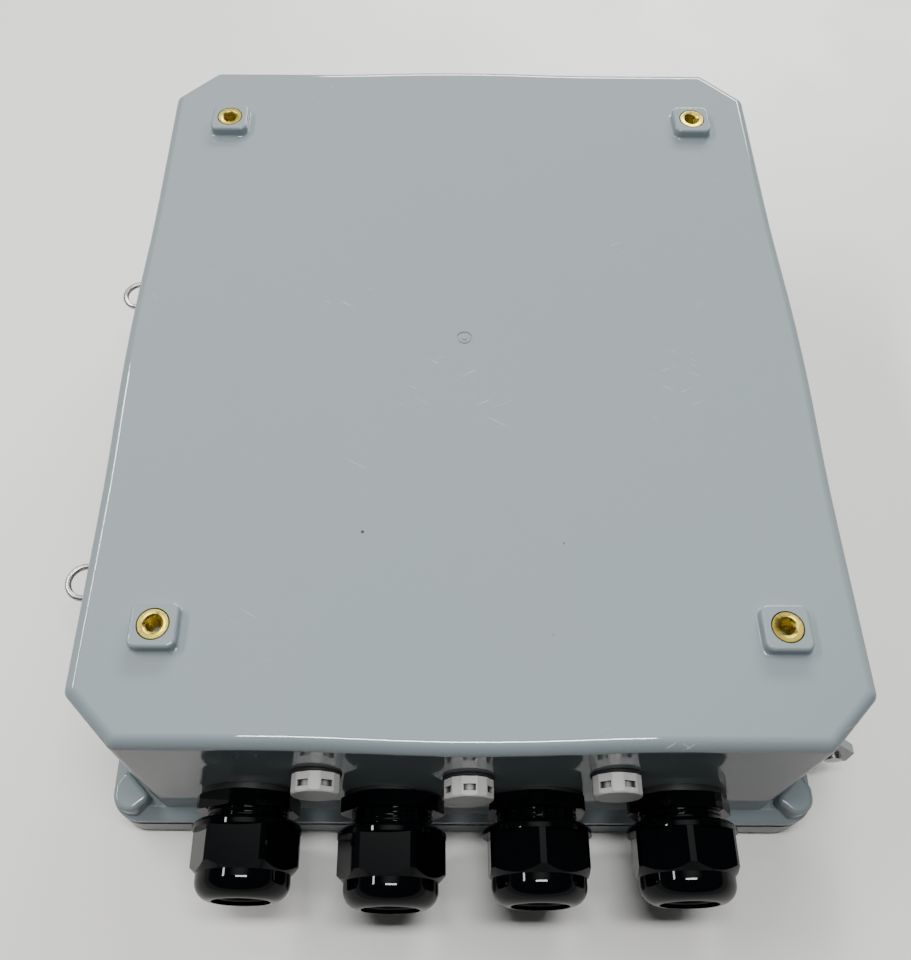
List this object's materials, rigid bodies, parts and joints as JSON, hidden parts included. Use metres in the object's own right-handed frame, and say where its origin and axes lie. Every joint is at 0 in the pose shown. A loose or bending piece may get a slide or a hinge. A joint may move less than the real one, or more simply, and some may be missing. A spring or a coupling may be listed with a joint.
{
  "type": "fiber termination box",
  "caption": "Hinged moulded wall enclosure for fiber splicing, with cable glands, breather plugs, draw latches and threaded inserts in its back, lying on its door.",
  "frame": {"origin": "centre of the rectangle of the four threaded inserts, in the plane of the boss faces on the back panel", "axes": "+Z out of the back panel, +Y towards the box's top end (glands at -Y), +X towards the hinge side (latches at -X); the box lies face down on its door"},
  "size_m": [0.3067, 0.3499, 0.1122],
  "materials": {
    "housing": "smooth moulded, light wear",
    "gland_nylon": "glossy black nylon",
    "seal_rubber": "matte black",
    "vent_plastic": "fine satin",
    "membrane": "fibrous white",
    "brass": "turned and knurled",
    "stainless": "brushed",
    "zinc_steel": "zinc plated",
    "plate_metal": "satin sheet",
    "gasket": "closed-cell foam",
    "black_plastic": "fine texture",
    "adapter_blue": "moulded",
    "cap_clear": "milky",
    "tray_plastic": "fine texture",
    "lid_clear": "clear",
    "comb_grey": "soft"
  },
  "bodies": {
    "door": {"door_panel": "housing", "door_gasket": "gasket", "latch_keeper_lower": "stainless", "latch_keeper_upper": "stainless", "keeper_rivets": "stainless"},
    "lever_lower": {"latch_lever_lower": "stainless"},
    "bail_lower": {"latch_bail_lower": "stainless"},
    "lever_upper": {"latch_lever_upper": "stainless"},
    "bail_upper": {"latch_bail_upper": "stainless"},
    "seal_1": {"gland_seal_1": "seal_rubber"},
    "nut_1": {"gland_nut_1": "gland_nylon"},
    "seal_2": {"gland_seal_2": "seal_rubber"},
    "nut_2": {"gland_nut_2": "gland_nylon"},
    "seal_3": {"gland_seal_3": "seal_rubber"},
    "nut_3": {"gland_nut_3": "gland_nylon"},
    "seal_4": {"gland_seal_4": "seal_rubber"},
    "nut_4": {"gland_nut_4": "gland_nylon"},
    "tray": {"splice_tray": "tray_plastic", "splice_comb": "comb_grey", "tray_lid": "lid_clear"},
    "tub": {"enclosure_tub": "housing", "brass_inserts": "brass", "gland_body_1": "gland_nylon", "gland_body_2": "gland_nylon", "gland_body_3": "gland_nylon", "gland_body_4": "gland_nylon", "gland_locknuts": "gland_nylon", "gland_washers": "seal_rubber", "vent_o_rings": "seal_rubber", "vent_bodies": "vent_plastic", "vent_cap_1": "vent_plastic", "vent_cap_2": "vent_plastic", "vent_cap_3": "vent_plastic", "vent_locknuts": "vent_plastic", "vent_membranes": "membrane", "hinge_pin_upper": "stainless", "hinge_pin_lower": "stainless", "latch_pivots": "stainless", "latch_rivets": "stainless", "latch_base_lower": "stainless", "latch_base_upper": "stainless", "padlock_staple_lower": "stainless", "padlock_staple_upper": "stainless", "mounting_plate": "plate_metal", "plate_screws": "zinc_steel", "cable_clamp_rail": "zinc_steel", "rail_screws": "zinc_steel", "saddle_screws": "zinc_steel", "adapter_bracket": "zinc_steel", "bracket_screws": "zinc_steel", "tray_bracket": "zinc_steel", "tray_screws": "zinc_steel", "tray_hinge_pin": "zinc_steel", "cable_saddles": "black_plastic", "fiber_clips": "black_plastic", "fiber_adapters": "adapter_blue", "adapter_dust_caps": "cap_clear"}
  },
  "joints": [
    {"name": "door_hinge", "type": "hinge", "parent": "door", "child": "tub", "pos_m": [0.1415, -0.0013, -0.0877], "axis": [0, 1, 0], "range_deg": [0, 110]},
    {"name": "lever_lower_turn", "type": "hinge", "parent": "tub", "child": "lever_lower", "pos_m": [-0.1355, -0.0742, -0.0842], "axis": [0, -1, 0], "range_deg": [0, 90]},
    {"name": "bail_lower_swing", "type": "hinge", "parent": "lever_lower", "child": "bail_lower", "pos_m": [-0.1346, -0.0742, -0.07726], "axis": [0, -1, 0], "range_deg": [-75, 0]},
    {"name": "lever_upper_turn", "type": "hinge", "parent": "tub", "child": "lever_upper", "pos_m": [-0.1355, 0.0716, -0.0842], "axis": [0, -1, 0], "range_deg": [0, 90]},
    {"name": "bail_upper_swing", "type": "hinge", "parent": "lever_upper", "child": "bail_upper", "pos_m": [-0.1346, 0.0716, -0.07726], "axis": [0, -1, 0], "range_deg": [-75, 0]},
    {"name": "seal_1_slide", "type": "slide", "parent": "tub", "child": "seal_1", "axis": [0, -1, 0], "range_m": [0, 0.0046]},
    {"name": "nut_1_turn", "type": "hinge", "parent": "seal_1", "child": "nut_1", "pos_m": [-0.07595, -0.1803, -0.0652], "axis": [0, -1, 0], "range_deg": [0, 1080]},
    {"name": "seal_2_slide", "type": "slide", "parent": "tub", "child": "seal_2", "axis": [0, -1, 0], "range_m": [0, 0.0046]},
    {"name": "nut_2_turn", "type": "hinge", "parent": "seal_2", "child": "nut_2", "pos_m": [-0.02565, -0.1803, -0.0652], "axis": [0, -1, 0], "range_deg": [0, 1080]},
    {"name": "seal_3_slide", "type": "slide", "parent": "tub", "child": "seal_3", "axis": [0, -1, 0], "range_m": [0, 0.0046]},
    {"name": "nut_3_turn", "type": "hinge", "parent": "seal_3", "child": "nut_3", "pos_m": [0.02465, -0.1803, -0.0652], "axis": [0, -1, 0], "range_deg": [0, 1080]},
    {"name": "seal_4_slide", "type": "slide", "parent": "tub", "child": "seal_4", "axis": [0, -1, 0], "range_m": [0, 0.0046]},
    {"name": "nut_4_turn", "type": "hinge", "parent": "seal_4", "child": "nut_4", "pos_m": [0.07495, -0.1803, -0.0652], "axis": [0, -1, 0], "range_deg": [0, 1080]},
    {"name": "tray_swing", "type": "hinge", "parent": "tub", "child": "tray", "pos_m": [0.0385, -0.0013, -0.0282], "axis": [0, -1, 0], "range_deg": [0, 88]}
  ],
  "couplings": [
    {"joint": "bail_lower_swing", "follows": "lever_lower_turn", "ratio": -0.8},
    {"joint": "bail_upper_swing", "follows": "lever_upper_turn", "ratio": -0.8},
    {"joint": "seal_1_slide", "follows": "nut_1_turn", "m_per_rad": 0.00023873},
    {"joint": "seal_2_slide", "follows": "nut_2_turn", "m_per_rad": 0.00023873},
    {"joint": "seal_3_slide", "follows": "nut_3_turn", "m_per_rad": 0.00023873},
    {"joint": "seal_4_slide", "follows": "nut_4_turn", "m_per_rad": 0.00023873}
  ]
}
